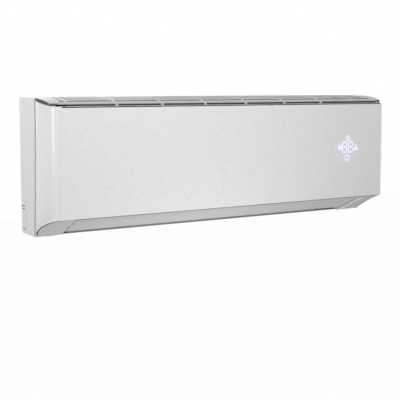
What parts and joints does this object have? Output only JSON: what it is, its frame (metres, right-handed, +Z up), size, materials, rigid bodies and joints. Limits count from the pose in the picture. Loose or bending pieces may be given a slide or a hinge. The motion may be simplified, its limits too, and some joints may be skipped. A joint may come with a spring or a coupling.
{
  "type": "split air conditioner indoor unit",
  "caption": "Wall-hung indoor unit of a split air conditioner with a rounded front panel, top intake grille, swinging outlet flap, cross-flow fan, coil and swing vanes.",
  "frame": {"origin": "on the back of the mounting plate, at the middle of the unit's width and height", "axes": "+X along the wall to the right of somebody who faces the unit, +Y from the room into the wall, +Z up"},
  "size_m": [0.96, 0.205, 0.32],
  "materials": {
    "panel_white": "smooth white, softly glossy",
    "casing_white": "fine-grained white",
    "grille_grey": "fine-grained light grey",
    "flap_silver": "satin light grey",
    "inner_plastic": "plain off-white moulding",
    "hose_white": "flexible off-white plastic",
    "dark_plastic": "plain black moulding",
    "bearing_rubber": "black rubber",
    "zinc_steel": "zinc-plated",
    "coil_aluminium": "bare fins",
    "pipe_copper": "drawn copper",
    "nut_brass": "machined",
    "circuit_board": "green lacquered board",
    "light_guide": "milky, lit from behind",
    "filter_net": "fine nylon net in a plastic edge"
  },
  "bodies": {
    "housing": {"mounting_plate": "zinc_steel", "rear_chassis": "inner_plastic", "left_side_casing": "casing_white", "right_side_casing": "casing_white", "top_grille": "grille_grey", "front_frame": "inner_plastic", "left_cheek": "flap_silver", "right_cheek": "flap_silver", "flap_motor": "zinc_steel", "left_vane_motor": "zinc_steel", "right_vane_motor": "zinc_steel", "fan_bearing": "bearing_rubber", "fan_motor": "zinc_steel", "motor_clamp": "zinc_steel", "front_lower_coil": "coil_aluminium", "front_upper_coil": "coil_aluminium", "rear_coil": "coil_aluminium", "drain_pan": "inner_plastic", "drain_hose": "hose_white", "gas_pipe": "pipe_copper", "liquid_pipe": "pipe_copper", "gas_flare_nut": "nut_brass", "liquid_flare_nut": "nut_brass", "electric_box": "inner_plastic", "electric_box_cover": "inner_plastic", "control_board": "circuit_board", "terminal_block": "dark_plastic", "left_filter": "filter_net", "right_filter": "filter_net", "room_sensor": "pipe_copper", "frame_screw_1": "zinc_steel", "frame_screw_2": "zinc_steel", "frame_screw_3": "zinc_steel"},
    "panel": {"front_panel": "panel_white", "display_board": "circuit_board", "display_light_guide": "light_guide"},
    "flap": {"flap": "flap_silver"},
    "fan": {"cross_flow_fan": "dark_plastic", "fan_motor_shaft": "zinc_steel"},
    "button": {"emergency_button": "casing_white"},
    "vane_1": {"vane_1": "dark_plastic"},
    "vane_2": {"vane_2": "dark_plastic"},
    "vane_3": {"vane_3": "dark_plastic"},
    "vane_4": {"vane_4": "dark_plastic"},
    "vane_5": {"vane_5": "dark_plastic"},
    "vane_6": {"vane_6": "dark_plastic"},
    "vane_7": {"vane_7": "dark_plastic"},
    "vane_8": {"vane_8": "dark_plastic"},
    "vane_9": {"vane_9": "dark_plastic"},
    "vane_10": {"vane_10": "dark_plastic"},
    "vane_11": {"vane_11": "dark_plastic"},
    "vane_12": {"vane_12": "dark_plastic"},
    "left_link": {"left_vane_link": "dark_plastic"},
    "right_link": {"right_vane_link": "dark_plastic"}
  },
  "joints": [
    {"name": "panel_hinge", "type": "hinge", "parent": "housing", "child": "panel", "pos_m": [0, -0.192, 0.136], "axis": [-1, 0, 0], "range_deg": [0, 60]},
    {"name": "flap_hinge", "type": "hinge", "parent": "housing", "child": "flap", "pos_m": [0, -0.087, -0.145], "axis": [1, 0, 0], "range_deg": [0, 75]},
    {"name": "fan_spin", "type": "hinge", "parent": "housing", "child": "fan", "pos_m": [0, -0.087, -0.042], "axis": [1, 0, 0], "continuous": true},
    {"name": "button_press", "type": "slide", "parent": "housing", "child": "button", "axis": [0, 1, 0], "range_m": [0, 0.0015], "stiffness_N_per_m": 250},
    {"name": "vane_1_swing", "type": "hinge", "parent": "housing", "child": "vane_1", "pos_m": [-0.396, -0.04979, -0.13411], "axis": [0, -0.6554, 0.7553], "range_deg": [-30, 30]},
    {"name": "vane_2_swing", "type": "hinge", "parent": "housing", "child": "vane_2", "pos_m": [-0.332, -0.04979, -0.13411], "axis": [0, -0.6554, 0.7553], "range_deg": [-30, 30]},
    {"name": "vane_3_swing", "type": "hinge", "parent": "housing", "child": "vane_3", "pos_m": [-0.268, -0.04979, -0.13411], "axis": [0, -0.6554, 0.7553], "range_deg": [-30, 30]},
    {"name": "vane_4_swing", "type": "hinge", "parent": "housing", "child": "vane_4", "pos_m": [-0.204, -0.04979, -0.13411], "axis": [0, -0.6554, 0.7553], "range_deg": [-30, 30]},
    {"name": "vane_5_swing", "type": "hinge", "parent": "housing", "child": "vane_5", "pos_m": [-0.14, -0.04979, -0.13411], "axis": [0, -0.6554, 0.7553], "range_deg": [-30, 30]},
    {"name": "vane_6_swing", "type": "hinge", "parent": "housing", "child": "vane_6", "pos_m": [-0.076, -0.04979, -0.13411], "axis": [0, -0.6554, 0.7553], "range_deg": [-30, 30]},
    {"name": "vane_7_swing", "type": "hinge", "parent": "housing", "child": "vane_7", "pos_m": [-0.012, -0.04979, -0.13411], "axis": [0, -0.6554, 0.7553], "range_deg": [-30, 30]},
    {"name": "vane_8_swing", "type": "hinge", "parent": "housing", "child": "vane_8", "pos_m": [0.052, -0.04979, -0.13411], "axis": [0, -0.6554, 0.7553], "range_deg": [-30, 30]},
    {"name": "vane_9_swing", "type": "hinge", "parent": "housing", "child": "vane_9", "pos_m": [0.116, -0.04979, -0.13411], "axis": [0, -0.6554, 0.7553], "range_deg": [-30, 30]},
    {"name": "vane_10_swing", "type": "hinge", "parent": "housing", "child": "vane_10", "pos_m": [0.18, -0.04979, -0.13411], "axis": [0, -0.6554, 0.7553], "range_deg": [-30, 30]},
    {"name": "vane_11_swing", "type": "hinge", "parent": "housing", "child": "vane_11", "pos_m": [0.244, -0.04979, -0.13411], "axis": [0, -0.6554, 0.7553], "range_deg": [-30, 30]},
    {"name": "vane_12_swing", "type": "hinge", "parent": "housing", "child": "vane_12", "pos_m": [0.308, -0.04979, -0.13411], "axis": [0, -0.6554, 0.7553], "range_deg": [-30, 30]},
    {"name": "left_link_pivot", "type": "hinge", "parent": "vane_1", "child": "left_link", "pos_m": [-0.396, -0.11166, -0.12689], "axis": [0, -0.6554, 0.7553], "range_deg": [-30, 30]},
    {"name": "right_link_pivot", "type": "hinge", "parent": "vane_7", "child": "right_link", "pos_m": [-0.012, -0.11166, -0.12689], "axis": [0, -0.6554, 0.7553], "range_deg": [-30, 30]}
  ],
  "couplings": [
    {"joint": "vane_2_swing", "follows": "vane_1_swing", "ratio": 1},
    {"joint": "vane_3_swing", "follows": "vane_1_swing", "ratio": 1},
    {"joint": "vane_4_swing", "follows": "vane_1_swing", "ratio": 1},
    {"joint": "vane_5_swing", "follows": "vane_1_swing", "ratio": 1},
    {"joint": "vane_6_swing", "follows": "vane_1_swing", "ratio": 1},
    {"joint": "vane_8_swing", "follows": "vane_7_swing", "ratio": 1},
    {"joint": "vane_9_swing", "follows": "vane_7_swing", "ratio": 1},
    {"joint": "vane_10_swing", "follows": "vane_7_swing", "ratio": 1},
    {"joint": "vane_11_swing", "follows": "vane_7_swing", "ratio": 1},
    {"joint": "vane_12_swing", "follows": "vane_7_swing", "ratio": 1},
    {"joint": "left_link_pivot", "follows": "vane_1_swing", "ratio": -1},
    {"joint": "right_link_pivot", "follows": "vane_7_swing", "ratio": -1}
  ]
}
